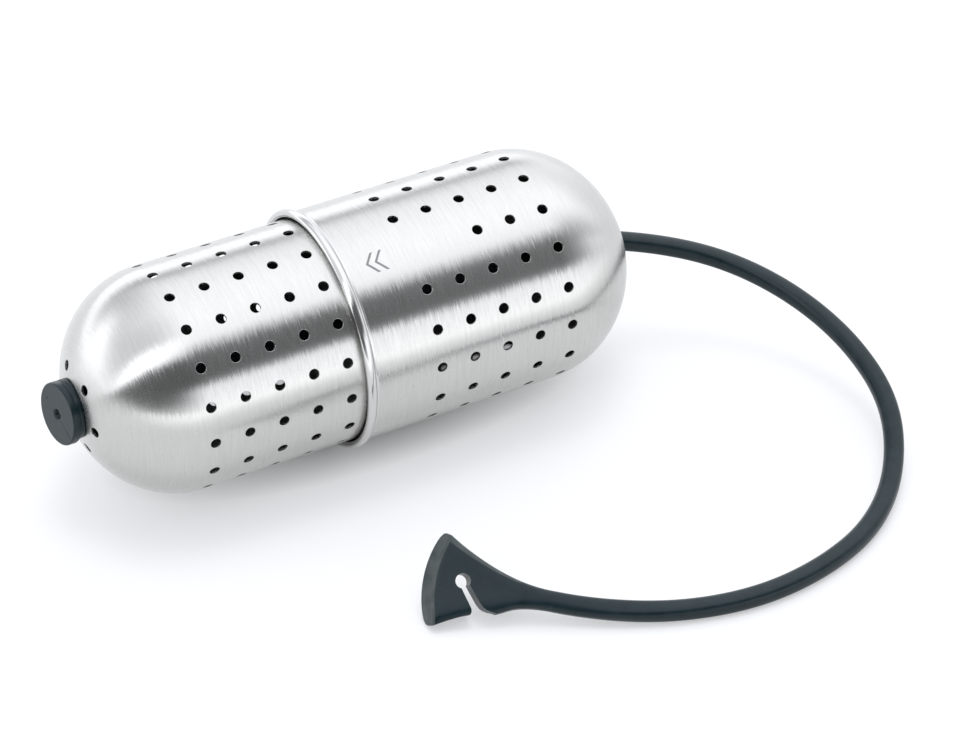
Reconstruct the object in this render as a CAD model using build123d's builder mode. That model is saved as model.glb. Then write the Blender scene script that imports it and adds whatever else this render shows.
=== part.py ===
from build123d import *
import math
import os

# A tea capsule: two perforated steel shells that telescope into each other, a silicone
# stopper at the closed end, and a silicone cord that runs through both shells and ends
# in a flat fishtail clip. The capsule lies along X with its cap towards +X, +Z is up and
# it rests on z = 0. Lengths are in millimetres.

# ---- shells
WALL = 0.5
CAP_R = 22.5                 # outer radius of the cap
BASKET_R = 21.6              # outer radius of the basket, which slides inside the cap
BEAD_R = 23.45               # crest of the cap's rolled rim
AXIS_Z = BEAD_R              # the rim's crest touches the ground
APEX_X = 58.05               # outermost point of the cap's dome
CAP_DOME_X = 37.3            # where the cap's straight wall turns into its dome
CAP_MOUTH_X = -5.5
BASKET_MOUTH_X = 7.3         # open end of the basket, inside the closed cap
BASKET_DOME_X = -35.6
BASKET_DOME_LENGTH = 19.8

# ---- rolled rim of the cap
BEAD_HALF_WIDTH = 1.15
BEAD_HALF_HEIGHT = 0.7
BEAD_X = -4.65

# ---- perforation
HOLE_R = 1.0
RING_PITCH = 6.87
RINGS = 5
ROWS = 18
ROW_PITCH = 360 / ROWS
CAP_FIRST_RING_X = 9.8
CAP_ROW_PHASE = 7.0          # degrees from straight up towards -Y
BASKET_FIRST_RING_X = -8.5
BASKET_ROW_PHASE = 9.9
BLANK_ROW = 1                # this row of the cap leaves out its first holes
BLANK_RINGS = 2
END_HOLES = 6
END_HOLE_CIRCLE_R = 8.0
END_HOLE_PHASE = 32.4

# ---- stopper
SEAT_R = 6.05                # flat seat on the basket's dome
STOPPER_R = 6.0
STOPPER_X = -APEX_X          # its outer face
STOPPER_EDGE = 0.5
STOPPER_FOOT = 1.0           # length of its narrower foot
STOPPER_STEP = 0.5           # the foot's radius is smaller by this
PLUG_R = 3.0
PLUG_CLEARANCE = 0.05
FLANGE_R = 4.4
FLANGE_LENGTH = 1.2
NIB_R = 0.9

# ---- cord and clip
CORD_D = 3.6
CORD_R = CORD_D / 2
CORD_REST_Z = CORD_R + 0.05
CORD_GAP = 0.5               # between the inner and the outer run, hidden behind the dome
EXIT_HOLE_R = 3.0
EXIT_DROP = 0.55             # the cord leans on the hole's lower front edge
EXIT_SIDE = -0.8
NECK = (8.0, -68.3, 3.65)    # where the cord runs into the clip
CLIP_HEADING = 144           # degrees from +X, in plan
CLIP_RISE = 8
CLIP_ROLL = 40
CLIP_LENGTH = 23.9
CLIP_CORNER = (21.0, 8.3)
FAR_CORNER = (21.0, -8.3)
CLIP_CORNER_ROUND = 0.9
KEYHOLE = (16.8, -0.3)
KEYHOLE_R = 1.6
SLOT_HEADING = 127
SLOT_HALF_WIDTH = 0.8
SLOT_NECK_LENGTH = 3.2
MOUTH_HALF_WIDTH = 1.9
SLOT_LENGTH = 9.0            # from the keyhole's centre to beyond the clip's edge
LEAD_IN = 7.5                # straight run of the cord into the clip

os.makedirs("parts", exist_ok=True)

capsule_axis = Axis((0, 0, AXIS_Z), (1, 0, 0))
profile_plane = Plane(origin=(0, 0, AXIS_Z), x_dir=(1, 0, 0), z_dir=(0, -1, 0))


def radial_plane(x, degrees):
    """A plane on the capsule's axis whose normal points outwards at an angle from straight up."""
    turn = math.radians(degrees)
    outwards = (0, -math.sin(turn), math.cos(turn))
    return Plane(origin=(x, 0, AXIS_Z), x_dir=(1, 0, 0), z_dir=outwards)


def end_plane(x, radius, degrees):
    """A plane that faces -X, at a radius and an angle from straight up."""
    turn = math.radians(degrees)
    centre = (x, -radius * math.sin(turn), AXIS_Z + radius * math.cos(turn))
    return Plane(origin=centre, x_dir=(0, 1, 0), z_dir=(-1, 0, 0))


# ---- cap_shell: deep-drawn cap with a rolled rim and an exit hole for the cord
cap_holes = []
for ring in range(RINGS):
    for row in range(ROWS):
        if row == BLANK_ROW and ring < BLANK_RINGS:
            continue
        x = CAP_FIRST_RING_X + ring * RING_PITCH
        cap_holes.append(radial_plane(x, CAP_ROW_PHASE + row * ROW_PITCH).location)

cap_dome_length = APEX_X - CAP_DOME_X
with BuildPart() as cap_shell:
    with BuildSketch(profile_plane):
        with BuildLine():
            outer = EllipticalCenterArc((CAP_DOME_X, 0), cap_dome_length, CAP_R, 0, arc_size=90)
            inner = EllipticalCenterArc(
                (CAP_DOME_X, 0), cap_dome_length - WALL, CAP_R - WALL, 0, arc_size=90
            )
            Line(outer @ 0, inner @ 0)
            Polyline(
                outer @ 1,
                (CAP_MOUTH_X, CAP_R),
                (CAP_MOUTH_X, CAP_R - WALL),
                inner @ 1,
            )
        make_face()
    revolve(axis=capsule_axis)
    with BuildSketch(profile_plane):
        with Locations((BEAD_X, BEAD_R - BEAD_HALF_HEIGHT)):
            Ellipse(BEAD_HALF_WIDTH, BEAD_HALF_HEIGHT)
    revolve(axis=capsule_axis)
    with Locations(*cap_holes):
        Cylinder(
            HOLE_R,
            BEAD_R,
            align=(Align.CENTER, Align.CENTER, Align.MIN),
            mode=Mode.SUBTRACT,
        )
    with Locations(Plane(origin=(CAP_DOME_X, 0, AXIS_Z), z_dir=(1, 0, 0)).location):
        Cylinder(
            EXIT_HOLE_R,
            cap_dome_length,
            align=(Align.CENTER, Align.CENTER, Align.MIN),
            mode=Mode.SUBTRACT,
        )
cap_shell.part.label = "cap_shell"

# ---- basket_shell: deep-drawn basket whose dome has a flat seat for the stopper
basket_holes = []
for ring in range(RINGS):
    for row in range(ROWS):
        x = BASKET_FIRST_RING_X - ring * RING_PITCH
        basket_holes.append(radial_plane(x, BASKET_ROW_PHASE + row * ROW_PITCH).location)

end_holes = []
for hole in range(END_HOLES):
    turn = END_HOLE_PHASE + hole * 360 / END_HOLES
    end_holes.append(end_plane(BASKET_DOME_X, END_HOLE_CIRCLE_R, turn).location)

seat_turn = math.degrees(math.asin(SEAT_R / BASKET_R))
seat_x = BASKET_DOME_X - BASKET_DOME_LENGTH * math.cos(math.radians(seat_turn))
with BuildPart() as basket_shell:
    with BuildSketch(profile_plane):
        with BuildLine():
            outer = EllipticalCenterArc(
                (BASKET_DOME_X, 0),
                BASKET_DOME_LENGTH,
                BASKET_R,
                90,
                arc_size=90 - seat_turn,
            )
            inner = EllipticalCenterArc(
                (BASKET_DOME_X, 0),
                BASKET_DOME_LENGTH - WALL,
                BASKET_R - WALL,
                90,
                arc_size=90 - seat_turn,
            )
            Polyline(outer @ 1, (seat_x, 0), (seat_x + WALL, 0), inner @ 1)
            Polyline(
                outer @ 0,
                (BASKET_MOUTH_X, BASKET_R),
                (BASKET_MOUTH_X, BASKET_R - WALL),
                inner @ 0,
            )
        make_face()
    revolve(axis=capsule_axis)
    with Locations(*basket_holes):
        Cylinder(
            HOLE_R,
            BEAD_R,
            align=(Align.CENTER, Align.CENTER, Align.MIN),
            mode=Mode.SUBTRACT,
        )
    with Locations(*end_holes):
        Cylinder(
            HOLE_R,
            BASKET_DOME_LENGTH,
            align=(Align.CENTER, Align.CENTER, Align.MIN),
            mode=Mode.SUBTRACT,
        )
    with Locations(end_plane(BASKET_DOME_X, 0, 0).location):
        Cylinder(
            PLUG_R + PLUG_CLEARANCE,
            BASKET_DOME_LENGTH,
            align=(Align.CENTER, Align.CENTER, Align.MIN),
            mode=Mode.SUBTRACT,
        )
basket_shell.part.label = "basket_shell"

# ---- end_button: silicone stopper, pushed through the seat's hole like a grommet
button_seat_x = seat_x - PLUG_CLEARANCE
flange_x = seat_x + WALL + PLUG_CLEARANCE
bore_floor_x = (button_seat_x + STOPPER_X) / 2
with BuildPart() as end_button:
    with BuildSketch(profile_plane):
        with BuildLine():
            Polyline(
                (STOPPER_X, NIB_R),
                (STOPPER_X, STOPPER_R),
                (button_seat_x - STOPPER_FOOT, STOPPER_R),
                (button_seat_x - STOPPER_FOOT, STOPPER_R - STOPPER_STEP),
                (button_seat_x, STOPPER_R - STOPPER_STEP),
                (button_seat_x, PLUG_R),
                (flange_x, PLUG_R),
                (flange_x, FLANGE_R),
                (flange_x + FLANGE_LENGTH, FLANGE_R),
                (flange_x + FLANGE_LENGTH, CORD_R),
                (bore_floor_x, CORD_R),
                (bore_floor_x, NIB_R),
                close=True,
            )
        make_face()
    revolve(axis=capsule_axis)
    rim = end_button.edges().filter_by(GeomType.CIRCLE).group_by(Axis.X)[0]
    fillet(rim.sort_by(SortBy.RADIUS)[-1], STOPPER_EDGE)
end_button.part.label = "end_button"

# ---- inner_cord: the cord's run inside the capsule, with the nib that locks it in the stopper
exit_inner_x = APEX_X - WALL
with BuildPart() as inner_cord:
    with BuildSketch(Plane(origin=(bore_floor_x, 0, AXIS_Z), z_dir=(1, 0, 0))):
        Circle(CORD_R)
    extrude(amount=exit_inner_x - CORD_GAP - bore_floor_x)
    with BuildSketch(Plane(origin=(bore_floor_x, 0, AXIS_Z), z_dir=(-1, 0, 0))):
        Circle(NIB_R)
    extrude(amount=bore_floor_x - STOPPER_X - STOPPER_EDGE)
inner_cord.part.label = "inner_cord"

# ---- cord: the free run, out of the exit hole, down to the ground and round to the clip
heading = math.radians(CLIP_HEADING)
rise = math.radians(CLIP_RISE)
roll = math.radians(CLIP_ROLL)
plan = Vector(math.cos(heading), math.sin(heading), 0)
clip_along = plan * math.cos(rise) + Vector(0, 0, math.sin(rise))
clip_up = Vector(0, 0, math.cos(rise)) - plan * math.sin(rise)
clip_side = clip_along.cross(clip_up)
clip_normal = clip_up * math.cos(roll) - clip_side * math.sin(roll)

route = [
    Vector(exit_inner_x, EXIT_SIDE, AXIS_Z - EXIT_DROP),
    Vector(65.0, -4.0, 22.0),
    Vector(77.5, -11.5, 18.5),
    Vector(86.0, -23.5, 15.0),
    Vector(90.5, -37.5, 11.0),
    Vector(90.0, -52.5, 7.0),
    Vector(83.0, -65.5, 2.6),
    Vector(71.5, -76.0, CORD_REST_Z),
    Vector(57.5, -81.5, CORD_REST_Z),
    Vector(42.5, -83.0, CORD_REST_Z),
    Vector(27.5, -79.5, CORD_REST_Z),
    Vector(*NECK) - clip_along * LEAD_IN,
    Vector(*NECK),
]


def corner_radii(points):
    """The radius of each corner: 0.45 of its shorter run over the tangent of half its turn."""
    radii = []
    for before, at, after in zip(points, points[1:], points[2:]):
        first = at - before
        second = after - at
        half_turn = math.radians(first.get_angle(second)) / 2
        radii.append(0.45 * min(first.length, second.length) / math.tan(half_turn))
    return radii


cord_radii = corner_radii(route)
print("cord radii:", [round(radius, 1) for radius in cord_radii])
with BuildPart() as cord:
    with BuildLine() as cord_path:
        FilletPolyline(*route, radius=cord_radii)
    with BuildSketch(Plane(origin=route[0], z_dir=route[1] - route[0])):
        Circle(CORD_R)
    sweep()
cord.part.label = "cord"
cord_length = cord_path.wire().length
print("cord length:", round(cord_length, 1))
print("cord volume over section times length:",
      round(cord.part.volume / (math.pi * CORD_R**2 * cord_length), 4))

# ---- clip_end: flat fishtail with a keyhole that snaps over the cord
clip_plane = Plane(origin=NECK, x_dir=clip_along, z_dir=clip_normal)
clip_thickness_axis = Axis(NECK, clip_normal)
slot_heading = math.radians(SLOT_HEADING)
slot_plane = Plane(
    origin=clip_plane.from_local_coords(Vector(*KEYHOLE)),
    x_dir=clip_plane.x_dir * math.cos(slot_heading) + clip_plane.y_dir * math.sin(slot_heading),
    z_dir=clip_normal,
)
neck_plane = Plane(origin=NECK, z_dir=clip_along)
with BuildPart() as clip_end:
    with BuildSketch(clip_plane):
        with BuildLine():
            Bezier((0, CORD_R), (6, CORD_R), (12, 4.3), CLIP_CORNER)
            Bezier((0, -CORD_R), (6, -CORD_R), (12, -4.3), FAR_CORNER)
            ThreePointArc(CLIP_CORNER, (CLIP_LENGTH, 0), FAR_CORNER)
            Line((0, CORD_R), (0, -CORD_R))
        make_face()
    extrude(amount=CORD_R, both=True)
    corner_lines = clip_end.edges().filter_by(clip_thickness_axis)
    fillet(corner_lines.sort_by(Axis(NECK, clip_along))[-2:], CLIP_CORNER_ROUND)
    # a flaring cone trims the square neck to the cord's round section
    with BuildSketch(neck_plane):
        Circle(CORD_R)
    with BuildSketch(neck_plane.offset(CLIP_LENGTH)):
        Circle(CLIP_LENGTH)
    loft(mode=Mode.INTERSECT)
    with BuildSketch(slot_plane):
        Circle(KEYHOLE_R)
        with BuildLine():
            Polyline(
                (0, SLOT_HALF_WIDTH),
                (SLOT_NECK_LENGTH, SLOT_HALF_WIDTH),
                (SLOT_LENGTH, MOUTH_HALF_WIDTH),
                (SLOT_LENGTH, -MOUTH_HALF_WIDTH),
                (SLOT_NECK_LENGTH, -SLOT_HALF_WIDTH),
                (0, -SLOT_HALF_WIDTH),
                close=True,
            )
        make_face()
    extrude(amount=CORD_D, both=True, mode=Mode.SUBTRACT)
clip_end.part.label = "clip_end"

pieces = [cap_shell, basket_shell, end_button, inner_cord, cord, clip_end]
print("lowest point of the clip:", round(clip_end.part.bounding_box().min.Z, 2))
for piece in pieces:
    export_step(piece.part, f"parts/{piece.part.label}.step")
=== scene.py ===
import math

import bpy
import numpy as np
from mathutils import Matrix, Vector


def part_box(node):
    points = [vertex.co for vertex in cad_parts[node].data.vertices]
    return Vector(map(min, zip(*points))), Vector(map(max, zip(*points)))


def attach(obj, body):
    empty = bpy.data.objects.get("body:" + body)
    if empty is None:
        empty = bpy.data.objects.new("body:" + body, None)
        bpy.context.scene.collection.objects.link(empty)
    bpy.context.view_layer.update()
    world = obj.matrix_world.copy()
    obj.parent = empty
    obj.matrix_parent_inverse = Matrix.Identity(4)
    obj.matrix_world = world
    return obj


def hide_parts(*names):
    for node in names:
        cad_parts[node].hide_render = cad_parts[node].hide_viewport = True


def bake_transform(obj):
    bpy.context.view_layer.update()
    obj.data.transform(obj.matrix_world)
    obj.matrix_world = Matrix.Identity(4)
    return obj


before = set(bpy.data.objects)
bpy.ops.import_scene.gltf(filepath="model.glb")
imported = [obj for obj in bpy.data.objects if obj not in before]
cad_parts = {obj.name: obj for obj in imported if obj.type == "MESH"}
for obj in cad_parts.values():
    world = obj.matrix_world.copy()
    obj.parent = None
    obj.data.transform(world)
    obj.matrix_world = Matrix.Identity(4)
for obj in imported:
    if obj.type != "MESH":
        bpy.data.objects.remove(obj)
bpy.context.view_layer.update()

# A tea capsule: two perforated steel shells, a silicone stopper, and a silicone cord with
# a fishtail clip. Everything is in the row frame. Named sizes are in millimetres, and MM
# turns them into metres.

MM = 0.001

CAP_LOW, CAP_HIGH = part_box("cap_shell")
BASKET_LOW, BASKET_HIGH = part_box("basket_shell")
BUTTON_LOW, BUTTON_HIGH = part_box("end_button")
AXIS_Z = (CAP_LOW.z + CAP_HIGH.z) / 2 / MM

# ---- shells
WALL = 0.5
CAP_R = 22.5
BASKET_R = (BASKET_HIGH.y - BASKET_LOW.y) / 2 / MM
APEX_X = -BUTTON_LOW.x / MM
CAP_MOUTH_X = -5.5
CAP_DOME_X = 37.3
BASKET_MOUTH_X = BASKET_HIGH.x / MM
BASKET_DOME_X = -35.6
BASKET_DOME_LENGTH = 19.8
SEAT_R = 6.05
PLUG_HOLE_R = 3.05
EXIT_HOLE_R = 3.0

# ---- rolled rim
BEAD_R = (CAP_HIGH.z - CAP_LOW.z) / 2 / MM
BEAD_X = -4.9
BEAD_HALF_WIDTH = 0.9
BEAD_HALF_HEIGHT = 0.7

# ---- perforation, on a grid of columns; each hole is in a block of the grid
COLUMNS = 144
COLUMN = 360 / COLUMNS
BLOCK = 8
END_BLOCK = 10
END_BLOCK_HALF = 1.4
HOLE_R = 1.0
HOLE_EDGE = 0.07
HOLE_OUTER_ROWS = 6
RING_PITCH = 6.87
RINGS = 5
ROWS = 18
CAP_FIRST_RING_X = 9.8
CAP_ROW_PHASE = 7.0
BASKET_FIRST_RING_X = -8.5
BASKET_ROW_PHASE = 9.9
# far rows that are out of step, or near holes would show right through them
FAR_ROW_SLIP = {11: 0.5, 12: 1.0, 13: 0.5}
BLANK_ROW = 1
BLANK_RINGS = 2
END_HOLES = 6
END_HOLE_CIRCLE_R = 8.0
END_HOLE_PHASE = 32.4

# ---- stopper and cord
STOPPER_R = (BUTTON_HIGH.z - BUTTON_LOW.z) / 2 / MM
CORD_R = 1.8
CORD_REST_Z = 1.72
EXIT = Vector((57.55, -0.8, AXIS_Z - 0.55))
NECK = Vector((8.0, -68.3, 3.65))
CLIP_HEADING = 144
CLIP_RISE = 8
CLIP_ROLL = 40
LEAD_IN = 7.5


def clip_axes():
    """The clip's directions: along it, across it towards its slot, and out of its face."""
    heading = math.radians(CLIP_HEADING)
    rise = math.radians(CLIP_RISE)
    roll = math.radians(CLIP_ROLL)
    plan = Vector((math.cos(heading), math.sin(heading), 0))
    along = plan * math.cos(rise) + Vector((0, 0, math.sin(rise)))
    up = Vector((0, 0, math.cos(rise))) - plan * math.sin(rise)
    normal = up * math.cos(roll) - along.cross(up) * math.sin(roll)
    return along, normal.cross(along), normal


# ---------------------------------------------------------------- camera, floor and light

VIEW_AZIMUTH = -27.954
VIEW_ELEVATION = 38.558
VIEW_DISTANCE = 752.1
VIEW_TARGET = Vector((20.6, -16.8, 16.45))
VIEW_LENS = 150

FLOOR_HALF = 6000
PAPER_COLOUR = (0.465, 0.468, 0.475)
PAPER_GLOW_COLOUR = (0.985, 0.99, 1.0)
# the floor's painted light: it glows more from here towards the front
FRONT_STARTS_Y = -100
FRONT_REACHED_Y = -260
FRONT_GLOW = 0.66
# and hardly where the capsule stands: a painted shadow inside an oval, which is a circle once
# squeezed along X
OVAL_SQUEEZE = 0.4
OVAL_CENTRE = (2.0, 4.5, 0)
OVAL_R = 8.5
OVAL_FADED_R = 21.5
PAINTED_SHADOW_GLOW = 0.03
OPEN_GLOW = 0.45

KEY_PLACE = Vector((120, 120, 1500))
KEY_AIM = Vector((20, -20, 0))
KEY_SIZE = 500
KEY_POWER = 4.3


def studio_camera():
    """A long lens, from above the front and the stopper's side."""
    azimuth = math.radians(VIEW_AZIMUTH)
    elevation = math.radians(VIEW_ELEVATION)
    back = Vector(
        (
            math.sin(azimuth) * math.cos(elevation),
            -math.cos(azimuth) * math.cos(elevation),
            math.sin(elevation),
        )
    )
    lens = bpy.data.cameras.new("camera")
    lens.lens = VIEW_LENS
    lens.sensor_width = 36
    lens.clip_start = 0.01
    lens.clip_end = 50
    camera = bpy.data.objects.new("camera", lens)
    camera.location = (VIEW_TARGET + back * VIEW_DISTANCE) * MM
    camera.rotation_euler = (math.pi / 2 - elevation, 0, azimuth)
    bpy.context.scene.collection.objects.link(camera)
    bpy.context.scene.camera = camera


def key_box():
    """A soft box over the table, unseen in reflections."""
    light = bpy.data.lights.new("key_box", "AREA")
    light.shape = "SQUARE"
    light.size = KEY_SIZE * MM
    light.energy = KEY_POWER
    lamp = bpy.data.objects.new("key_box", light)
    lamp.location = KEY_PLACE * MM
    lamp.rotation_euler = (KEY_AIM - KEY_PLACE).to_track_quat("-Z", "Y").to_euler()
    lamp.visible_glossy = False
    bpy.context.scene.collection.objects.link(lamp)


# The light tent round the table: degrees from straight up towards the front, and the glow
# there, which ramps from one row to the next. Its slots are the dark bands on the steel.
TENT = (
    (-105, 0.95),
    (-80, 1.0),
    (-74, 0.98),
    (-69, 0.6),
    (-66, 0.34),
    (-62, 0.36),
    (-57, 0.68),
    (-48, 0.84),
    (-30, 0.93),
    (-10, 0.98),
    (10, 1.0),
    (24, 0.9),
    (29.5, 0.5),
    (36, 0.09),
    (64.5, 0.07),
    (68, 0.5),
    (71.5, 0.97),
    (100, 1.0),
)
# The same for the walls and ends of the tent, to the left and right.
LEFT_WALL = (
    (-105, 0.8),
    (-92, 0.92),
    (-80, 0.97),
    (-70, 0.5),
    (-50, 0.42),
    (-34, 0.58),
    (-19, 0.68),
    (-3, 0.58),
    (12, 0.56),
    (20, 1.1),
    (31, 1.1),
    (39, 0.08),
    (76, 0.07),
    (86, 0.4),
    (100, 0.6),
)
LEFT_END = (
    (-105, 0.95),
    (-84, 1.5),
    (-74, 0.7),
    (-62, 1.5),
    (-50, 1.1),
    (-40, 0.55),
    (9, 0.55),
    (16, 1.5),
    (30, 1.5),
    (37, 0.08),
    (88, 0.08),
    (100, 0.2),
)
RIGHT_WALL = (
    (-105, 0.92),
    (-81, 0.84),
    (-60, 0.74),
    (-38, 0.83),
    (-22, 0.95),
    (-2, 1.0),
    (12, 0.76),
    (24, 0.42),
    (38, 0.2),
    (62, 0.18),
    (72, 0.8),
    (84, 0.9),
)
RIGHT_END = (
    (-96, 0.6),
    (-61, 0.62),
    (-8, 0.85),
    (6, 0.7),
    (20, 0.5),
    (32, 0.6),
    (46, 0.8),
    (66, 0.7),
    (86, 0.65),
)
# Keeps the ramps' colours below 1, which the light's strength makes good.
TENT_SHARE = 0.6
TENT_STRENGTH = 1.86
TENT_TINT = (0.985, 1.0, 1.045)
# How far a direction leans along X where each starts and where it is all that is seen.
END_WALLS = (
    (0.25, -0.25, LEFT_WALL),
    (-0.35, -0.7, LEFT_END),
    (0.41, 0.58, RIGHT_WALL),
    (0.72, 0.92, RIGHT_END),
)


def wall(tree, share, glows):
    """A wall of the tent: its colour at a share of the way round from straight down."""
    tent = node(tree, "ValToRGB", {"Fac": share})
    ramp = tent.color_ramp
    for k, (degrees, glow) in enumerate(glows):
        at = 0.5 + degrees / 360
        stop = ramp.elements[k] if k < 2 else ramp.elements.new(at)
        stop.position = at
        stop.color = (*(glow * TENT_SHARE * tint for tint in TENT_TINT), 1)
    return tent.outputs["Color"]


def floor_paper_painted_light_and_shadow():
    """Pale paper that glows: painted light, stronger towards the front, and a painted shadow where
    the capsule stands, where it hardly glows.
    """
    material, tree, shader = new_material("floor_paper_painted_light_and_shadow")
    shader.inputs["Base Color"].default_value = (*PAPER_COLOUR, 1)
    shader.inputs["Roughness"].default_value = 0.5
    shader.inputs["Specular IOR Level"].default_value = 0.2
    place = object_place(tree)
    across = node(tree, "SeparateXYZ", {"Vector": place})
    # painted light: the floor glows more towards the front
    front = remap(
        tree, across.outputs["Y"], FRONT_STARTS_Y * MM, FRONT_REACHED_Y * MM, 0.0, FRONT_GLOW
    )
    # painted shadow: an oval round where the capsule stands, where the floor hardly glows
    oval = node(tree, "VectorMath", {0: place, 1: (OVAL_SQUEEZE, 1, 0)}, operation="MULTIPLY")
    centre = Vector(OVAL_CENTRE) * MM
    away = node(tree, "VectorMath", {0: oval.outputs[0], 1: centre}, operation="DISTANCE")
    near = remap(
        tree, away.outputs["Value"], OVAL_R * MM, OVAL_FADED_R * MM, PAINTED_SHADOW_GLOW, OPEN_GLOW
    )
    glow = node(tree, "Math", {0: front, 1: near}, operation="ADD").outputs[0]
    tree.links.new(glow, shader.inputs["Emission Strength"])
    shader.inputs["Emission Color"].default_value = (*PAPER_GLOW_COLOUR, 1)
    return material


def studio():
    """A pale floor with painted light and a painted shadow, and a soft box, inside a white tent
    with a slot at the front.
    """
    floor_mesh = bpy.data.meshes.new("floor")
    half = FLOOR_HALF * MM
    floor_mesh.from_pydata(
        [(-half, -half, 0), (half, -half, 0), (half, half, 0), (-half, half, 0)],
        [],
        [(0, 1, 2, 3)],
    )
    floor = bpy.data.objects.new("floor", floor_mesh)
    bpy.context.scene.collection.objects.link(floor)
    floor_mesh.materials.append(floor_paper_painted_light_and_shadow())
    key_box()

    world = bpy.data.worlds.new("room")
    bpy.context.scene.world = world
    world.use_nodes = True
    tree = world.node_tree
    towards = node(tree, "SeparateXYZ", {"Vector": node(tree, "TexCoord").outputs["Generated"]})
    front = node(tree, "Math", {0: towards.outputs["Y"], 1: -1.0}, operation="MULTIPLY")
    lean = node(
        tree, "Math", {0: front.outputs[0], 1: towards.outputs["Z"]}, operation="ARCTAN2"
    ).outputs[0]
    share = remap(tree, lean, -math.pi, math.pi, 0.0, 1.0)
    light = wall(tree, share, TENT)
    for start, reached, glows in END_WALLS:
        amount = remap(tree, towards.outputs["X"], start, reached, 0.0, 1.0)
        light = node(
            tree, "MixRGB", {"Fac": amount, "Color1": light, "Color2": wall(tree, share, glows)}
        ).outputs["Color"]
    background = tree.nodes["Background"]
    tree.links.new(light, background.inputs["Color"])
    background.inputs["Strength"].default_value = TENT_STRENGTH / TENT_SHARE
    bpy.context.scene.view_settings.view_transform = "Standard"


# ---------------------------------------------------------------- materials


def new_material(name):
    material = bpy.data.materials.new(name)
    material.use_nodes = True
    tree = material.node_tree
    return material, tree, tree.nodes["Principled BSDF"]


def node(tree, kind, inputs=(), **settings):
    """A shader node with its settings, and its inputs set to values or linked to sockets."""
    made = tree.nodes.new("ShaderNode" + kind)
    for key, value in settings.items():
        setattr(made, key, value)
    for key, value in dict(inputs).items():
        if isinstance(value, bpy.types.NodeSocket):
            tree.links.new(value, made.inputs[key])
        else:
            made.inputs[key].default_value = value
    return made


def remap(tree, value, low, high, to_low, to_high):
    """A value from one range to another, clamped."""
    inputs = {"Value": value, "From Min": low, "From Max": high}
    inputs.update({"To Min": to_low, "To Max": to_high})
    return node(tree, "MapRange", inputs).outputs["Result"]


def object_place(tree):
    return node(tree, "TexCoord").outputs["Object"]


def noise(tree, where, scale, detail):
    inputs = {"Vector": where, "Scale": scale, "Detail": detail}
    return node(tree, "TexNoise", inputs).outputs["Fac"]


def two_tone(tree, value, low, dark, high, light):
    """A colour that goes from dark to light as a value goes from low to high."""
    tone = node(tree, "ValToRGB", {"Fac": value})
    first, last = tone.color_ramp.elements
    first.position, first.color = low, (*dark, 1)
    last.position, last.color = high, (*light, 1)
    return tone.outputs["Color"]


def brushed_steel(name, dome_side):
    """Steel brushed round the axis: fine streaks that run round the shell, also on its dome."""
    material, tree, shader = new_material(name)
    split = node(tree, "SeparateXYZ", {"Vector": object_place(tree)})
    height = node(
        tree, "Math", {0: split.outputs["Z"], 1: AXIS_Z * MM}, operation="SUBTRACT"
    ).outputs[0]
    across = node(tree, "CombineXYZ", {"Y": split.outputs["Y"], "Z": height}).outputs[0]
    radius = node(tree, "VectorMath", {0: across}, operation="LENGTH").outputs["Value"]
    along = node(
        tree,
        "Math",
        {0: radius, 1: -dome_side, 2: split.outputs["X"]},
        operation="MULTIPLY_ADD",
    ).outputs[0]

    def streaks(per_metre, round_per_metre, detail):
        """Noise that changes quickly from line to line and slowly along each line."""
        line = node(tree, "Math", {0: along, 1: per_metre}, operation="MULTIPLY").outputs[0]
        slow = node(
            tree, "VectorMath", {0: across, "Scale": round_per_metre}, operation="SCALE"
        ).outputs[0]
        where = node(tree, "VectorMath", {0: slow, 1: (0, 0, 0)}, operation="ADD")
        offset = node(tree, "CombineXYZ", {"X": line}).outputs[0]
        tree.links.new(offset, where.inputs[1])
        return noise(tree, where.outputs[0], 1.0, detail)

    fine = streaks(5200, 380, 3.0)
    coarse = streaks(3000, 160, 2.0)
    colour = two_tone(tree, coarse, 0.3, (0.544, 0.543, 0.527), 0.7, (0.578, 0.577, 0.56))
    tree.links.new(colour, shader.inputs["Base Color"])
    tree.links.new(remap(tree, fine, 0.3, 0.7, 0.21, 0.28), shader.inputs["Roughness"])
    # each line leans a little round the axis, which combs the edges of the reflections
    round_way = node(tree, "VectorMath", {0: across, 1: (1, 0, 0)}, operation="CROSS_PRODUCT")
    unit = node(tree, "VectorMath", {0: round_way.outputs[0]}, operation="NORMALIZE")
    world_way = node(
        tree,
        "VectorTransform",
        {"Vector": unit.outputs[0]},
        vector_type="VECTOR",
        convert_from="OBJECT",
        convert_to="WORLD",
    )
    lean = remap(tree, fine, 0.2, 0.8, -0.026, 0.026)
    nudge = node(
        tree, "VectorMath", {0: world_way.outputs[0], "Scale": lean}, operation="SCALE"
    )
    facing = node(tree, "NewGeometry").outputs["Normal"]
    leaning = node(tree, "VectorMath", {0: facing, 1: nudge.outputs[0]}, operation="ADD")
    straight = node(tree, "VectorMath", {0: leaning.outputs[0]}, operation="NORMALIZE")
    bump = node(
        tree,
        "Bump",
        {"Height": fine, "Strength": 0.12, "Distance": 0.00001, "Normal": straight.outputs[0]},
    )
    tree.links.new(bump.outputs["Normal"], shader.inputs["Normal"])
    tangent = node(tree, "Tangent", direction_type="RADIAL", axis="X")
    tree.links.new(tangent.outputs["Tangent"], shader.inputs["Tangent"])
    shader.inputs["Metallic"].default_value = 1.0
    shader.inputs["Anisotropic"].default_value = 0.9
    shader.inputs["Anisotropic Rotation"].default_value = 0.25
    return material


def polished_steel():
    """The rolled rim: bright, with handling haze."""
    material, tree, shader = new_material("polished_steel")
    haze = noise(tree, object_place(tree), 260.0, 4.0)
    tree.links.new(remap(tree, haze, 0.35, 0.65, 0.09, 0.17), shader.inputs["Roughness"])
    shader.inputs["Base Color"].default_value = (0.6, 0.598, 0.588, 1)
    shader.inputs["Metallic"].default_value = 1.0
    return material


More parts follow.
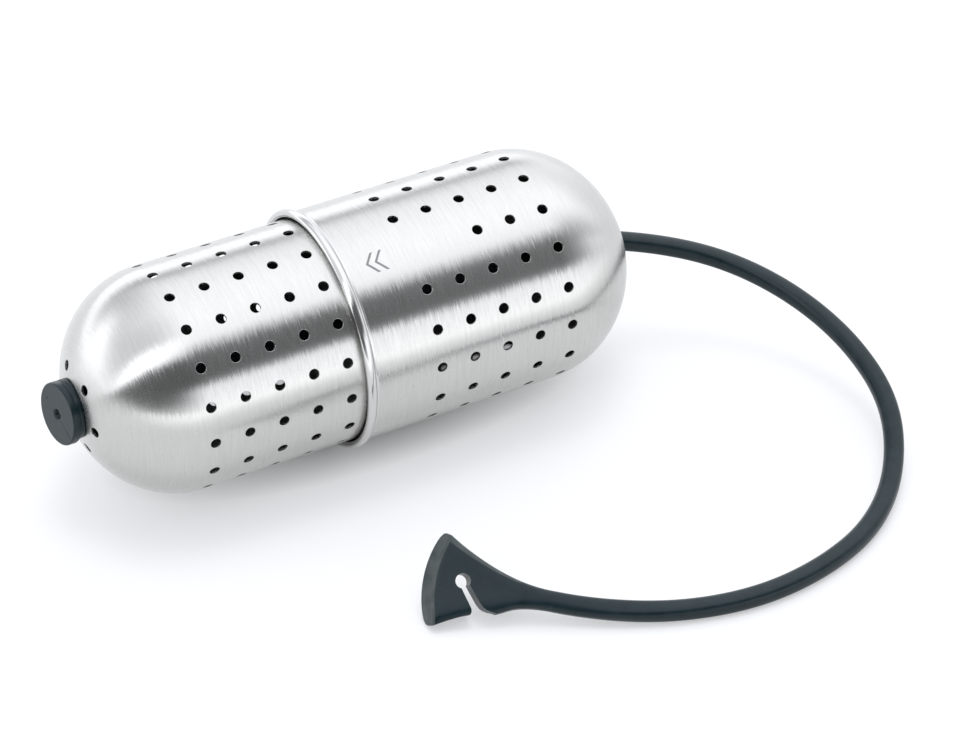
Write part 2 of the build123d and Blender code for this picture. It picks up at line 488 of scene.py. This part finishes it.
def silicone(name, dark, light, rough_low, rough_high):
    """Satin silicone with a faint moulded mottle."""
    material, tree, shader = new_material(name)
    place = object_place(tree)
    mottle = noise(tree, place, 420.0, 5.0)
    grain = noise(tree, place, 4200.0, 2.0)
    colour = two_tone(tree, mottle, 0.35, dark, 0.65, light)
    tree.links.new(colour, shader.inputs["Base Color"])
    roughness = remap(tree, mottle, 0.3, 0.7, rough_low, rough_high)
    tree.links.new(roughness, shader.inputs["Roughness"])
    bump = node(tree, "Bump", {"Height": grain, "Strength": 0.2, "Distance": 0.00002})
    tree.links.new(bump.outputs["Normal"], shader.inputs["Normal"])
    shader.inputs["Specular IOR Level"].default_value = 0.3
    return material


def painted_shade_inside_steel():
    """The inside of the shells: dull, unpolished and a little stained, and much darker than the
    outer steel, which is painted shade inside the shells.
    """
    material, tree, shader = new_material("painted_shade_inside_steel")
    stain = noise(tree, object_place(tree), 160.0, 5.0)
    # painted shade: the inside is far darker than the outer steel, with random stains
    colour = two_tone(tree, stain, 0.35, (0.10, 0.10, 0.098), 0.65, (0.17, 0.17, 0.166))
    tree.links.new(colour, shader.inputs["Base Color"])
    tree.links.new(remap(tree, stain, 0.3, 0.7, 0.38, 0.5), shader.inputs["Roughness"])
    shader.inputs["Metallic"].default_value = 1.0
    return material


def etched():
    """The dull grey of an etched mark."""
    material, tree, shader = new_material("etched_steel")
    frost = noise(tree, object_place(tree), 5000.0, 2.0)
    colour = two_tone(tree, frost, 0.0, (0.16, 0.16, 0.16), 1.0, (0.42, 0.42, 0.42))
    tree.links.new(colour, shader.inputs["Base Color"])
    shader.inputs["Metallic"].default_value = 1.0
    shader.inputs["Roughness"].default_value = 0.6
    return material


# ---------------------------------------------------------------- mesh helpers


def new_piece(name, points, faces, material, body, normals=None, nodes=(), inside=None):
    """A smooth mesh in the row frame, from points in millimetres. inside is a second
    material and the numbers of the faces that have it."""
    mesh = bpy.data.meshes.new(name)
    mesh.from_pydata([tuple(p * MM for p in point) for point in points], [], faces)
    mesh.validate()
    mesh.polygons.foreach_set("use_smooth", [True] * len(mesh.polygons))
    if normals is not None:
        mesh.normals_split_custom_set_from_vertices(normals)
    mesh.materials.append(material)
    if inside:
        mesh.materials.append(inside[0])
        for number in inside[1]:
            mesh.polygons[number].material_index = 1
    piece = bpy.data.objects.new(name, mesh)
    bpy.context.scene.collection.objects.link(piece)
    if body:
        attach(piece, body)
    if nodes:
        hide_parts(*nodes)
    return piece


def strip(lower, upper):
    """Quads between two closed rows of point numbers."""
    after = [*range(1, len(lower)), 0]
    return [(lower[k], lower[j], upper[j], upper[k]) for k, j in enumerate(after)]


def tube(rows):
    """Quads between each row of point numbers and the next."""
    return [quad for lower, upper in zip(rows, rows[1:]) for quad in strip(lower, upper)]


# ---------------------------------------------------------------- perforated shells


STRAIGHT_STEPS = 400
DOME_STEPS = 2400
SEAT_STEPS = 300


def dome_profile(mouth_x, dome_x, tip_x, radius, cut_r, flat_to_r=None):
    """The wall's outline from mouth to end hole: straight, a quarter ellipse, a flat seat."""
    x = list(np.linspace(mouth_x, dome_x, STRAIGHT_STEPS)[:-1])
    r = [radius] * len(x)
    last_turn = math.acos(cut_r / radius)
    for turn in np.linspace(0, last_turn, DOME_STEPS):
        x.append(dome_x + (tip_x - dome_x) * math.sin(turn))
        r.append(radius * math.cos(turn))
    if flat_to_r is not None:
        for flat in np.linspace(cut_r, flat_to_r, SEAT_STEPS)[1:]:
            x.append(x[-1])
            r.append(flat)
    return np.array(x), np.array(r)


class Sheet:
    """A wall of revolution, addressed by length down its outline, angle from straight up
    towards -Y, and depth below its outer face."""

    def __init__(self, outline):
        self.x, self.r = outline
        steps = np.hypot(np.diff(self.x), np.diff(self.r))
        self.s = np.concatenate([[0], np.cumsum(steps)])
        dx, dr = np.gradient(self.x, self.s), np.gradient(self.r, self.s)
        self.side = 1 if self.x[-1] > self.x[0] else -1
        self.nx, self.nr = -dr * self.side, dx * self.side
        self.points = []
        self.normals = []
        self.faces = []
        self.inside = []

    def length_at_radius(self, radius):
        """The length down the outline where the dome has narrowed to a radius."""
        return float(np.interp(-radius, -self.r, self.s))

    def radius_at(self, s):
        return float(np.interp(s, self.s, self.r))

    def place(self, s, turn):
        """The place on the outer face."""
        x, r = np.interp(s, self.s, self.x), np.interp(s, self.s, self.r)
        angle = math.radians(turn)
        return np.array((x, -r * math.sin(angle), AXIS_Z + r * math.cos(angle)))

    def add(self, s, turn, depth=0.0, tilt=0.0, towards=None):
        """A point, whose normal is the outer face's, or below it the inner face's. On an edge
        it leans from the outer face's, by tilt, towards a neighbouring place."""
        nx, nr = np.interp(s, self.s, self.nx), np.interp(s, self.s, self.nr)
        angle = math.radians(turn)
        out = np.array((nx, -nr * math.sin(angle), nr * math.cos(angle)))
        out /= np.linalg.norm(out)
        face = self.place(s, turn)
        normal = -out if depth else out
        if towards is not None:
            aim = towards - face
            aim -= out * (aim @ out)
            aim /= np.linalg.norm(aim)
            normal = out * math.cos(tilt) + aim * math.sin(tilt)
        self.points.append(face - out * depth)
        self.normals.append(normal)
        return len(self.points) - 1

    def cover(self, faces, inside=False):
        if inside:
            self.inside += range(len(self.faces), len(self.faces) + len(faces))
        self.faces += faces

    def join(self, rows, inside_from):
        """Joins each row to the next, inside the shell from one row on."""
        for k, (lower, upper) in enumerate(zip(rows, rows[1:])):
            self.cover(strip(lower, upper), k >= inside_from)

    def outward(self):
        """The faces, turned so that they look out of the wall."""
        return self.faces if self.side > 0 else [face[::-1] for face in self.faces]


def round_edge(sheet, s, towards_s, first_turn, outer, inner):
    """Rows round the wall's edge at s, which faces towards_s, from the outer row to the inner."""
    rows = [outer]
    half = WALL / 2
    for tilt in (30, 60, 90, 120, 150):
        lean = math.radians(tilt)
        at = s + math.copysign(half * math.sin(lean), towards_s - s)
        row = []
        for column in range(COLUMNS):
            turn = first_turn + column * COLUMN
            aim = sheet.place(towards_s, turn)
            depth = half * (1 - math.cos(lean))
            row.append(sheet.add(at, turn, depth, lean, aim))
        rows.append(row)
    rows.append(inner)
    return rows


def block_walk(high, wide):
    """The grid's points round a block, as (station, column) from its first corner, and the
    bearing of each from the hole's middle."""
    walk = [(0, j) for j in range(wide)]
    walk += [(i, wide) for i in range(high)]
    walk += [(high, wide - j) for j in range(wide)]
    walk += [(high - i, 0) for i in range(high)]
    bearings = []
    for corner, count in ((225, wide), (135, high), (45, wide), (-45, high)):
        start = math.radians(corner)
        bearings += [start - math.pi / 2 * k / count for k in range(count)]
    return walk, bearings


def punch(sheet, s, turn, outer_ring, inner_ring, spots, bearings):
    """The rows of a round hole through the wall, from its block's outer ring, which is at the
    given spots, to its inner one."""
    centre = sheet.place(s, turn)
    radius = sheet.radius_at(s)

    def on_circle(hole_r, bearing):
        across = math.degrees(hole_r * math.sin(bearing) / radius)
        return s + hole_r * math.cos(bearing), turn + across

    def circle(hole_r, depth, tilt):
        lean = math.radians(tilt)
        return [sheet.add(*on_circle(hole_r, b), depth, lean, centre) for b in bearings]

    def between(share, depth):
        row = []
        for (edge_s, edge_turn), bearing in zip(spots, bearings):
            ring_s, ring_turn = on_circle(HOLE_R + HOLE_EDGE, bearing)
            at_s = edge_s + (ring_s - edge_s) * share
            at_turn = edge_turn + (ring_turn - edge_turn) * share
            row.append(sheet.add(at_s, at_turn, depth))
        return row

    rows = [outer_ring, between(0.4, 0), between(0.75, 0)]
    for tilt in (0, 45, 90):
        lean = math.radians(tilt)
        ring = HOLE_R + HOLE_EDGE * (1 - math.sin(lean))
        rows.append(circle(ring, HOLE_EDGE * (1 - math.cos(lean)), tilt))
    rows.append(circle(HOLE_R, WALL - HOLE_EDGE, 90))
    rows.append(circle(HOLE_R + HOLE_EDGE * 0.3, WALL - HOLE_EDGE * 0.3, 135))
    rows.append(between(1.0, WALL))
    rows.append(inner_ring)
    return rows


def perforated_shell(sheet, stations, first_turn, holes):
    """A grid of quads on both faces of the wall, with a hole in the middle of each block.
    holes has, for each, the block's first station and column, its numbers of stations and
    columns, and the hole's place."""
    turns = [first_turn + column * COLUMN for column in range(COLUMNS)]
    outer = [[sheet.add(s, turn) for turn in turns] for s in stations]
    inner = [[sheet.add(s, turn, WALL) for turn in turns] for s in stations]
    taken = set()
    hole_rows = []
    for station, column, high, wide, s, turn in holes:
        for i in range(high):
            for j in range(wide):
                taken.add((station + i, (column + j) % COLUMNS))
        walk, bearings = block_walk(high, wide)
        spots = []
        outer_ring = []
        inner_ring = []
        for i, j in walk:
            at = (column + j) % COLUMNS
            outer_ring.append(outer[station + i][at])
            inner_ring.append(inner[station + i][at])
            spots.append((stations[station + i], first_turn + (column + j) * COLUMN))
        hole_rows.append(punch(sheet, s, turn, outer_ring, inner_ring, spots, bearings))
    for i in range(len(stations) - 1):
        for j in range(COLUMNS):
            if (i, j) in taken:
                continue
            k = (j + 1) % COLUMNS
            sheet.cover([(outer[i][j], outer[i][k], outer[i + 1][k], outer[i + 1][j])])
            sheet.cover([(inner[i][j], inner[i + 1][j], inner[i + 1][k], inner[i][k])], True)
    for rows in hole_rows:
        sheet.join(rows, HOLE_OUTER_ROWS)
    mouth = round_edge(sheet, stations[0], 0.0, first_turn, outer[0], inner[0])
    sheet.join(mouth[::-1], len(mouth))
    end = round_edge(sheet, stations[-1], sheet.s[-1], first_turn, outer[-1], inner[-1])
    sheet.join(end, len(end))


def wall_stations(first_centre):
    """Stations from the mouth's rounded edge to the end of the last ring's block, and the
    number of the one where the first ring's block starts."""
    block_start = first_centre - RING_PITCH / 2
    block_end = block_start + RINGS * RING_PITCH
    stations = list(np.linspace(WALL / 2, block_start, 13)[:-1])
    first = len(stations)
    return stations + list(np.linspace(block_start, block_end, BLOCK * RINGS + 1)), first


def more_stations(stations, end, count):
    """Adds stations, evenly spaced from the last one to the end."""
    stations += list(np.linspace(stations[-1], end, count + 1)[1:])


def cap_shell(material, inside):
    """The cap's wall, with its blank patch by the mouth."""
    sheet = Sheet(dome_profile(CAP_MOUTH_X, CAP_DOME_X, APEX_X, CAP_R, EXIT_HOLE_R))
    first_centre = CAP_FIRST_RING_X - CAP_MOUTH_X
    stations, first = wall_stations(first_centre)
    more_stations(stations, sheet.s[-1] - WALL / 2, 33)
    holes = []
    for ring in range(RINGS):
        for row in range(ROWS):
            if row == BLANK_ROW and ring < BLANK_RINGS:
                continue
            s = first_centre + ring * RING_PITCH
            turn = CAP_ROW_PHASE + row * 360 / ROWS
            holes.append((first + BLOCK * ring, BLOCK * row, BLOCK, BLOCK, s, turn))
    perforated_shell(sheet, stations, CAP_ROW_PHASE - BLOCK / 2 * COLUMN, holes)
    return new_piece(
        "cap_wall",
        sheet.points,
        sheet.outward(),
        material,
        "cap",
        sheet.normals,
        ["cap_shell"],
        (inside, sheet.inside),
    )


def basket_shell(material, inside):
    """The basket's wall, with a ring of holes round the stopper's flat seat."""
    tip_x = BASKET_DOME_X - BASKET_DOME_LENGTH
    outline = dome_profile(BASKET_MOUTH_X, BASKET_DOME_X, tip_x, BASKET_R, SEAT_R, PLUG_HOLE_R)
    sheet = Sheet(outline)
    first_centre = BASKET_MOUTH_X - BASKET_FIRST_RING_X
    end_hole_s = sheet.length_at_radius(END_HOLE_CIRCLE_R)
    stations, first = wall_stations(first_centre)
    more_stations(stations, end_hole_s - END_BLOCK_HALF, 17)
    end_station = len(stations) - 1
    more_stations(stations, end_hole_s + END_BLOCK_HALF, BLOCK)
    more_stations(stations, sheet.length_at_radius(SEAT_R), 3)
    more_stations(stations, sheet.s[-1] - WALL / 2, 4)
    holes = []
    for ring in range(RINGS):
        for row in range(ROWS):
            s = first_centre + ring * RING_PITCH - FAR_ROW_SLIP.get(row, 0)
            turn = BASKET_ROW_PHASE + row * 360 / ROWS
            holes.append((first + BLOCK * ring, BLOCK * row, BLOCK, BLOCK, s, turn))
    for hole in range(END_HOLES):
        turn = END_HOLE_PHASE + hole * 360 / END_HOLES
        middle = round((turn - BASKET_ROW_PHASE) / COLUMN) + BLOCK // 2
        column = middle - END_BLOCK // 2
        holes.append((end_station, column, BLOCK, END_BLOCK, end_hole_s, turn))
    perforated_shell(sheet, stations, BASKET_ROW_PHASE - BLOCK / 2 * COLUMN, holes)
    return new_piece(
        "basket_wall",
        sheet.points,
        sheet.outward(),
        material,
        "basket",
        sheet.normals,
        ["basket_shell"],
        (inside, sheet.inside),
    )


# ---------------------------------------------------------------- lathe work


def lathe(name, outline, material, body, segments=160, closed=True, nodes=(), bend=None):
    """A ring or cap of revolution about the capsule's axis, from (x, r) in millimetres. bend
    moves each point, which it gets with its radius and its angle."""
    points = []
    rows = []
    for x, r in outline:
        row = []
        for k in range(segments):
            turn = 2 * math.pi * k / segments
            if r == 0 and k:
                row.append(row[0])
                continue
            point = Vector((x, -r * math.sin(turn), AXIS_Z + r * math.cos(turn)))
            points.append(bend(point, r, turn) if bend else point)
            row.append(len(points) - 1)
        rows.append(row)
    if closed:
        rows.append(rows[0])
    faces = [tuple(dict.fromkeys(quad)) for quad in tube(rows)]
    faces = [face for face in faces if len(face) > 2]
    return new_piece(name, points, faces, material, body, nodes=nodes)


def arc(centre, radii, start, end, steps):
    """Points on an ellipse, angles in degrees from +X."""
    turns = np.radians(np.linspace(start, end, steps))
    return [(centre[0] + radii[0] * math.cos(t), centre[1] + radii[1] * math.sin(t)) for t in turns]


def rolled_rim(material):
    """The cap's rolled rim, which flares out of the wall in a small hollow and curls in."""
    centre = (BEAD_X, BEAD_R - BEAD_HALF_HEIGHT)
    outline = arc(centre, (BEAD_HALF_WIDTH, BEAD_HALF_HEIGHT), 28, 345, 44)
    outline.append((-3.3, CAP_R - 0.2))
    outline.append((-3.2, CAP_R - 0.02))
    outline += arc((-3.3, CAP_R + 0.36), (0.62, 0.34), 270, 196, 10)
    return lathe("rolled_rim", outline, material, "cap", nodes=["cap_shell"])


# ---- stopper, whose disc sits a little askew on its foot
STOPPER_TILT = 10.5
STOPPER_SAG = 0.35
STOPPER_FOOT = 1.65
STOPPER_FOOT_R = 5.72
STOPPER_GROOVE_R = 5.35
STOPPER_EDGE = 0.35
STOPPER_BORE_R = 0.95
STOPPER_PLUG_R = 3.0
STOPPER_FLANGE_R = 4.4
STOPPER_FLANGE_DEPTH = 0.6
STOPPER_FLANGE_END = 1.7
CUT_DEPTH = 0.16
STOPPER_SEGMENTS = 240
LOW_SIDE_TURN = 49
CUT_TURN = 117
TICK_TURN = 292.5


def stopper(material, face_material):
    """The silicone stopper: a disc with a bore and a fine cut, its foot, plug and flange."""
    face_x = BUTTON_LOW.x / MM
    seat_x = BASKET_DOME_X - BASKET_DOME_LENGTH * math.sqrt(1 - (SEAT_R / BASKET_R) ** 2)
    foot = seat_x - 0.03
    neck = foot - STOPPER_FOOT
    bore = STOPPER_BORE_R
    edge = STOPPER_EDGE
    flange_x = foot + STOPPER_FLANGE_DEPTH
    back_x = foot + STOPPER_FLANGE_END
    outline = [(back_x, 0), (back_x, STOPPER_FLANGE_R), (flange_x, STOPPER_FLANGE_R)]
    outline += [(flange_x, STOPPER_PLUG_R), (foot, STOPPER_PLUG_R)]
    outline += [(foot, 5.3), (foot - 0.08, 5.5), (foot - 0.2, STOPPER_FOOT_R)]
    outline += [(neck + 0.3, STOPPER_FOOT_R), (neck + 0.16, STOPPER_FOOT_R - 0.1)]
    outline += [(neck + 0.1, STOPPER_GROOVE_R), (neck, STOPPER_GROOVE_R)]
    outline += [(neck - 0.02, STOPPER_R - 0.25)]
    outline += arc((neck - 0.2, STOPPER_R - 0.18), (0.18, 0.18), 45, 90, 4)
    outline += arc((face_x + edge, STOPPER_R - edge), (edge, edge), 90, 180, 8)
    outline += [(face_x + 0.02, r) for r in np.linspace(STOPPER_R - 0.7, bore + 0.4, 12)]
    outline += [(face_x + 0.06, bore + 0.15), (face_x + 0.2, bore), (face_x + 1.2, bore - 0.05)]
    outline += [(face_x + 1.25, 0.62), (face_x + 0.7, 0.5), (face_x + 0.5, 0.3), (face_x + 0.46, 0)]
    pivot = Vector((neck, 0, AXIS_Z))
    low = math.radians(LOW_SIDE_TURN)
    hinge = Vector((0, math.cos(low), math.sin(low)))
    cuts = ((math.radians(CUT_TURN), bore, STOPPER_R - 0.4), (math.radians(TICK_TURN), 3.3, 4.5))

    def askew(point, r, turn):
        for cut_turn, start, end in cuts:
            if abs(turn - cut_turn) < 1e-6 and point.x < face_x + 0.3 and start < r < end:
                point = point + Vector((CUT_DEPTH, 0, 0))
        if point.x > neck + 0.3:
            return point
        share = min(1.0, (neck + 0.3 - point.x) / 0.4)
        turned = Matrix.Rotation(math.radians(STOPPER_TILT) * share, 3, hinge)
        return pivot + turned @ (point - pivot) + Vector((0, 0, -STOPPER_SAG * share))

    piece = lathe(
        "stopper",
        outline,
        material,
        "cord_end",
        STOPPER_SEGMENTS,
        False,
        ["end_button"],
        askew,
    )
    piece.data.materials.append(face_material)
    straight_out = Matrix.Rotation(math.radians(STOPPER_TILT), 3, hinge) @ Vector((-1, 0, 0))
    for polygon in piece.data.polygons:
        if polygon.normal.dot(straight_out) > 0.85 and polygon.center.x < neck * MM:
            polygon.material_index = 1
    return piece


# ---------------------------------------------------------------- cord


def cord_route():
    """The route's points, in metres: the same as the CAD tube's."""
    along = clip_axes()[0]
    points = [
        EXIT,
        Vector((65.0, -4.0, 22.0)),
        Vector((77.5, -11.5, 18.5)),
        Vector((86.0, -23.5, 15.0)),
        Vector((90.5, -37.5, 11.0)),
        Vector((90.0, -52.5, 7.0)),
        Vector((83.0, -65.5, 2.6)),
        Vector((71.5, -76.0, CORD_REST_Z)),
        Vector((57.5, -81.5, CORD_REST_Z)),
        Vector((42.5, -83.0, CORD_REST_Z)),
        Vector((27.5, -79.5, CORD_REST_Z)),
        NECK - along * LEAD_IN,
        NECK,
    ]
    return [point * MM for point in points]


def smooth_line(points):
    """Points close together on the smooth curve that the route's points control."""
    curve = bpy.data.curves.new("route", "CURVE")
    curve.dimensions = "3D"
    curve.resolution_u = 16
    spline = curve.splines.new("NURBS")
    spline.points.add(len(points) - 1)
    for control, point in zip(spline.points, points):
        control.co = (*point, 1)
    spline.order_u = 3
    spline.use_endpoint_u = True
    holder = bpy.data.objects.new("route", curve)
    mesh = bpy.data.meshes.new_from_object(holder)
    line = [vertex.co.copy() for vertex in mesh.vertices]
    bpy.data.meshes.remove(mesh)
    bpy.data.objects.remove(holder)
    bpy.data.curves.remove(curve)
    return line


SECTION_POINTS = 32
SECTION_SQUARENESS = 2.5
SECTION_HALF_WIDE = 1.92
SECTION_HALF_THICK = 1.7
TWIST_LENGTH = 30
INNER_STATIONS = 120


def section(half_wide, half_thick):
    """The cord's section, a rounded oval, as (wide, thick) offsets in millimetres."""
    offsets = []
    power = 2 / SECTION_SQUARENESS
    for k in range(SECTION_POINTS):
        turn = 2 * math.pi * k / SECTION_POINTS
        c, s = math.cos(turn), math.sin(turn)
        wide = half_wide * math.copysign(abs(c) ** power, c)
        thick = half_thick * math.copysign(abs(s) ** power, s)
        offsets.append((wide, thick))
    return offsets


def free_cord(material):
    """The free cord, an oval tube that lies flat and twists on edge towards the clip."""
    line = smooth_line(cord_route())
    steps = [0.0]
    for a, b in zip(line, line[1:]):
        steps.append(steps[-1] + (b - a).length)
    total = steps[-1]
    clip_across = clip_axes()[1]
    points = []
    rows = []
    for k, (at, gone) in enumerate(zip(line, steps)):
        before = line[max(k - 1, 0)]
        after = line[min(k + 1, len(line) - 1)]
        tangent = (after - before).normalized()
        upright = (Vector((0, 0, 1)) - tangent * tangent.z).normalized()
        wide = tangent.cross(upright)
        near_clip = max(0.0, 1 - (total - gone) / (TWIST_LENGTH * MM))
        near_clip = near_clip * near_clip * (3 - 2 * near_clip)
        aim = -clip_across - tangent * tangent.dot(-clip_across)
        wide = (wide * (1 - near_clip) + aim.normalized() * near_clip).normalized()
        thick = tangent.cross(wide)
        row = []
        for offset_wide, offset_thick in section(SECTION_HALF_WIDE, SECTION_HALF_THICK):
            points.append((at + wide * offset_wide * MM + thick * offset_thick * MM) / MM)
            row.append(len(points) - 1)
        rows.append(row)
    faces = tube(rows) + [tuple(rows[0]), tuple(rows[-1][::-1])]
    piece = new_piece("free_cord", points, faces, material, "cap", nodes=["cord"])
    piece.data.set_sharp_from_angle(angle=math.radians(60))
    return piece


def inner_cord(material):
    """The cord's run inside the capsule, which stretches between stopper and exit."""
    low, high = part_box("inner_cord")
    points = []
    rows = []
    for k in range(INNER_STATIONS + 1):
        x = (low.x + (high.x - low.x) * k / INNER_STATIONS) / MM
        row = []
        for wide, thick in section(SECTION_HALF_WIDE * 0.9, SECTION_HALF_THICK):
            if k < 3:  # in the stopper's bore
                wide, thick = wide * 0.4, thick * 0.5
            points.append((x, thick, AXIS_Z + wide))
            row.append(len(points) - 1)
        rows.append(row)
    faces = tube(rows) + [tuple(rows[0][::-1]), tuple(rows[-1])]
    piece = new_piece(
        "inner_run", points, faces, material, None, nodes=["inner_cord"]
    )
    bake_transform(piece)
    return piece


# ---------------------------------------------------------------- clip

CLIP_LENGTH = 23.85
CLIP_CORNER_U = 22.1
CLIP_HALF_END = 8.7
CLIP_SHIFT = -0.1
KEYHOLE_U = 16.8
KEYHOLE_V = -0.3
KEYHOLE_R = 1.38
SLOT_HEADING = 127
SLOT_FAR_SIDE = 0.83
SLOT_NEAR_SIDE = 0.8
LIP = 0.8
END_ROUNDING = 0.45
KEYHOLE_SLOPE = 0.22
END_SLOPE = 0.6
TOP_SLOPE = 0.25
DISH = 0.3


def bezier(points, share):
    """A point on a Bezier curve of any order."""
    while len(points) > 1:
        points = [a + (b - a) * share for a, b in zip(points, points[1:])]
    return points[0]


def side_edge(share):
    """Half the clip's width at a share of its length: (u, half width)."""
    widths = (SECTION_HALF_WIDE, SECTION_HALF_WIDE, 3.95, CLIP_HALF_END)
    spots = [np.array(p) for p in zip((0, 6, 12, CLIP_CORNER_U), widths)]
    return bezier(spots, share)


def squarish(squareness):
    """Points round a square with round corners, as (across, through) from -1 to 1."""
    corner = 0.5 ** (1 / squareness)
    side = np.linspace(-corner, corner, 31)[:-1]
    end = np.linspace(-corner, corner, 9)[:-1]
    ring = [(q, -((1 - abs(q) ** squareness) ** (1 / squareness))) for q in side]
    ring += [((1 - abs(t) ** squareness) ** (1 / squareness), t) for t in end]
    ring += [(-q, (1 - abs(q) ** squareness) ** (1 / squareness)) for q in side]
    ring += [(-((1 - abs(t) ** squareness) ** (1 / squareness)), -t) for t in end]
    return ring


def clip_blank(material, end_painted_light_material):
    """The fan without its slot: rounded sections from the neck to the curved end. Its end
    and its upper edge slope, so that its back reaches further than its dished face."""
    along, across, normal = clip_axes()
    lengthwise = 48
    points = []
    rows = []
    stops = [(k / lengthwise, 0.0) for k in range(lengthwise + 1)]
    stops += [(1.0, inset) for inset in (0.1, 0.2, 0.29, 0.36, 0.41, 0.44)]
    for share, inset in stops:
        u_side, half_wide = side_edge(share)
        squareness = SECTION_SQUARENESS + 3.6 * share
        half_thick = SECTION_HALF_THICK + (CORD_R - SECTION_HALF_THICK) * min(1.0, 3 * share)
        reach = math.sqrt(END_ROUNDING**2 - (END_ROUNDING - inset) ** 2)
        lip = LIP * math.exp(-(((share - 0.52) / 0.13) ** 2))
        row = []
        for q, t in squarish(squareness):
            v = q * (half_wide - inset) + lip * max(0.0, q) + CLIP_SHIFT * share * share
            n = t * (half_thick - inset)
            bulge = (CLIP_LENGTH - CLIP_CORNER_U) * (1 - q * q) * share**3
            u = u_side + bulge + (reach - END_ROUNDING) * share**8
            rise = n + half_thick
            u -= END_SLOPE * rise * share**3
            v += TOP_SLOPE * rise * share * max(0.0, -q) ** 3
            if t > 0:
                n -= DISH * share * share * max(0.0, 1 - (q / 0.86) ** 2)
            points.append(NECK + along * u + across * v + normal * n)
            row.append(len(points) - 1)
        rows.append(row)
    faces = tube(rows) + [tuple(rows[0][::-1]), tuple(rows[-1])]
    # the end is matt and painted lighter as painted light, and so is the upper edge from a third of
    # the way on, as a painted highlight
    ring = len(rows[0])
    matt_painted_light_faces = [k for k in range(lengthwise * ring, len(faces)) if k != len(faces) - 2]
    third = lengthwise // 3
    matt_painted_light_faces += [k * ring + j for k in range(third, lengthwise) for j in range(ring - 9, ring)]
    return new_piece(
        "clip", points, faces, material, None, inside=(end_painted_light_material, matt_painted_light_faces)
    )


def slot_cutter():
    """The keyhole with its slot out of the low edge, rounded on the cord's side."""
    along, across, normal = clip_axes()
    heading = math.radians(SLOT_HEADING)
    out = (math.cos(heading), math.sin(heading))
    side = (-out[1], out[0])
    first = math.asin(SLOT_NEAR_SIDE / KEYHOLE_R)
    last = 2 * math.pi - math.asin(SLOT_FAR_SIDE / KEYHOLE_R)
    outline = []
    for turn in np.linspace(first, last, 48):
        outline.append((KEYHOLE_R * math.cos(turn), KEYHOLE_R * math.sin(turn)))
    # out along the slot's far side, and back round the near side's lip
    outline += [(5.2, -0.85), (5.7, -1.0), (6.1, -1.3), (6.6, -2.0), (7.5, -3.2)]
    outline += [(12.0, -3.2), (12.0, 3.4), (8.6, 3.4), (7.7, 2.75), (7.2, 2.1), (6.6, 1.55)]
    outline += [(5.9, 1.18), (5.0, 1.0), (3.8, 0.94), (2.6, 0.86)]
    points = []
    rows = []
    for depth in (-4.0, 4.0):
        row = []
        for along_slot, beside in outline:
            u = KEYHOLE_U + out[0] * along_slot + side[0] * beside - KEYHOLE_SLOPE * depth
            v = KEYHOLE_V + out[1] * along_slot + side[1] * beside
            points.append((NECK + along * u + across * v + normal * depth) * MM)
            row.append(len(points) - 1)
        rows.append(row)
    mesh = bpy.data.meshes.new("slot_cutter")
    faces = tube(rows) + [tuple(rows[0][::-1]), tuple(rows[1])]
    mesh.from_pydata(points, [], faces)
    mesh.validate()
    cutter = bpy.data.objects.new("slot_cutter", mesh)
    bpy.context.scene.collection.objects.link(cutter)
    return cutter


def fishtail_clip(material, end_painted_light_material):
    """The clip: the fan with its keyhole and slot cut through, with its edges kept crisp."""
    piece = clip_blank(material, end_painted_light_material)
    cutter = slot_cutter()
    cut = piece.modifiers.new("slot", "BOOLEAN")
    cut.operation = "DIFFERENCE"
    cut.solver = "EXACT"
    cut.object = cutter
    graph = bpy.context.evaluated_depsgraph_get()
    mesh = bpy.data.meshes.new_from_object(piece.evaluated_get(graph))
    piece.modifiers.clear()
    piece.data = mesh
    mesh.set_sharp_from_angle(angle=math.radians(38))
    bpy.data.objects.remove(cutter)
    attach(piece, "cap")
    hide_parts("clip_end")
    return piece


# ---------------------------------------------------------------- mark

MARK_X = 2.0
MARK_TURN = 27.0
MARK_SHIFTS = (-1.3, 0.5)
MARK_REACH = 2.1
MARK_SLOPE = 0.8
MARK_LINE = 0.42
MARK_LIFT = 0.015


def mark(material):
    """A generic mark of two nested chevrons, etched in the blank patch."""
    points = []
    faces = []
    r = CAP_R + MARK_LIFT
    half_line = MARK_LINE / 2 * math.hypot(1, MARK_SLOPE)
    for shift in MARK_SHIFTS:
        rows = []
        for v in np.linspace(-MARK_REACH, MARK_REACH, 17):
            x = MARK_X + shift + abs(v) * MARK_SLOPE
            turn = math.radians(MARK_TURN) + v / CAP_R
            row = []
            for edge in (-half_line, half_line):
                points.append((x + edge, -r * math.sin(turn), AXIS_Z + r * math.cos(turn)))
                row.append(len(points) - 1)
            rows.append(row)
        for a, b in zip(rows, rows[1:]):
            faces.append((a[0], b[0], b[1], a[1]))
    return new_piece("cap_mark", points, faces, material, "cap")


studio_camera()
rubber = silicone("silicone_cord", (0.004, 0.014, 0.018), (0.008, 0.02, 0.025), 0.27, 0.36)
# matt and lighter: painted light on the clip's end and a painted highlight along its upper edge
matt_rubber_painted_light = silicone("silicone_matt_painted_light", (0.05, 0.061, 0.061), (0.077, 0.09, 0.09), 0.5, 0.65)
clip_piece = fishtail_clip(rubber, matt_rubber_painted_light)
free_cord(rubber)
studio()
# painted shade inside the shells
painted_shade_steel = painted_shade_inside_steel()
cap_shell(brushed_steel("brushed_cap", 1), painted_shade_steel)
basket_shell(brushed_steel("brushed_basket", -1), painted_shade_steel)
rolled_rim(polished_steel())
matt_face = silicone("silicone_face", (0.108, 0.128, 0.13), (0.142, 0.163, 0.166), 0.5, 0.62)
stopper(rubber, matt_face)
inner_cord(rubber)
mark(etched())
